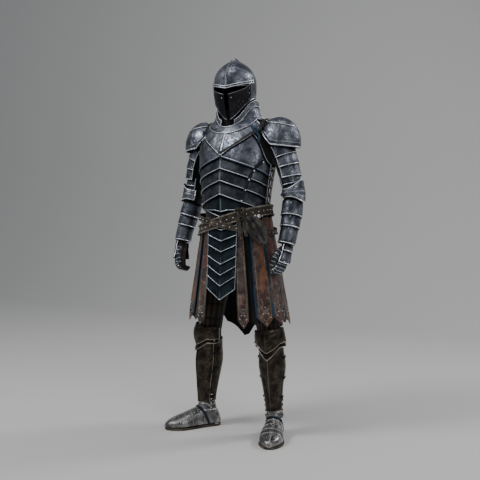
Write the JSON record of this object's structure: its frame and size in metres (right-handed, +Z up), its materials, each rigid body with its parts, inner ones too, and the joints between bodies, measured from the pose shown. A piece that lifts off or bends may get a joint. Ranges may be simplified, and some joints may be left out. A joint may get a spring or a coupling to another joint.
{
  "type": "suit of plate armour",
  "caption": "Worn suit of plate armour: closed helmet, lobed breast, laminated arms, lamellar apron over pointed leather strips, greaves and plate boots.",
  "frame": {"origin": "between the shoulders, 1.48 m above the soles, on the suit's middle line, where it hangs on its wearer", "axes": "+Z up from the boots to the helmet, -Y the way the breast faces, +X the wearer's left"},
  "size_m": [0.7272, 0.4102, 1.8665],
  "materials": {
    "plate_steel": "worn, hand polished, blue-grey",
    "blued_steel": "dark blued, worn at the edges",
    "leg_steel": "dark, mottled, worn",
    "dark_cloth": "matt woven cloth",
    "brown_cloth": "matt quilted cloth",
    "belt_leather": "worn",
    "russet_leather": "worn, cracked",
    "glove_leather": "matt"
  },
  "bodies": {
    "root": {"helm_skull": "plate_steel", "helm_brow": "plate_steel", "helm_back": "plate_steel", "gorget_collar": "plate_steel", "gorget_plate": "plate_steel", "breast_top": "plate_steel", "breast_left": "plate_steel", "breast_right": "plate_steel", "plackart_lame_1": "plate_steel", "plackart_lame_2": "plate_steel", "plackart_lame_3": "plate_steel", "back_plate": "plate_steel", "pauldron_left": "plate_steel", "rerebrace_left": "plate_steel", "couter_left": "plate_steel", "vambrace_left": "plate_steel", "gauntlet_left": "plate_steel", "pauldron_right": "plate_steel", "rerebrace_right": "plate_steel", "couter_right": "plate_steel", "vambrace_right": "plate_steel", "gauntlet_right": "plate_steel", "helm_cheek_left": "blued_steel", "helm_cheek_right": "blued_steel", "plackart_belly": "blued_steel", "fauld": "blued_steel", "apron": "blued_steel", "poleyn_left": "leg_steel", "greave_front_left": "leg_steel", "greave_back_left": "leg_steel", "sabaton_left": "leg_steel", "poleyn_right": "leg_steel", "greave_front_right": "leg_steel", "greave_back_right": "leg_steel", "sabaton_right": "leg_steel", "sleeve_left": "dark_cloth", "sleeve_right": "dark_cloth", "doublet_front": "dark_cloth", "doublet_back": "dark_cloth", "skirt_cloth": "dark_cloth", "breeches": "brown_cloth", "shoulder_strap_left": "belt_leather", "shoulder_strap_right": "belt_leather", "waist_belt": "belt_leather", "hip_belt": "belt_leather", "belt_pouch": "belt_leather", "strip_left_1": "russet_leather", "strip_left_2": "russet_leather", "strip_left_3": "russet_leather", "strip_left_4": "russet_leather", "strip_left_5": "russet_leather", "strip_left_6": "russet_leather", "strip_right_1": "russet_leather", "strip_right_2": "russet_leather", "strip_right_3": "russet_leather", "strip_right_4": "russet_leather", "strip_right_5": "russet_leather", "strip_right_6": "russet_leather", "glove_left": "glove_leather", "glove_right": "glove_leather"}
  },
  "joints": []
}
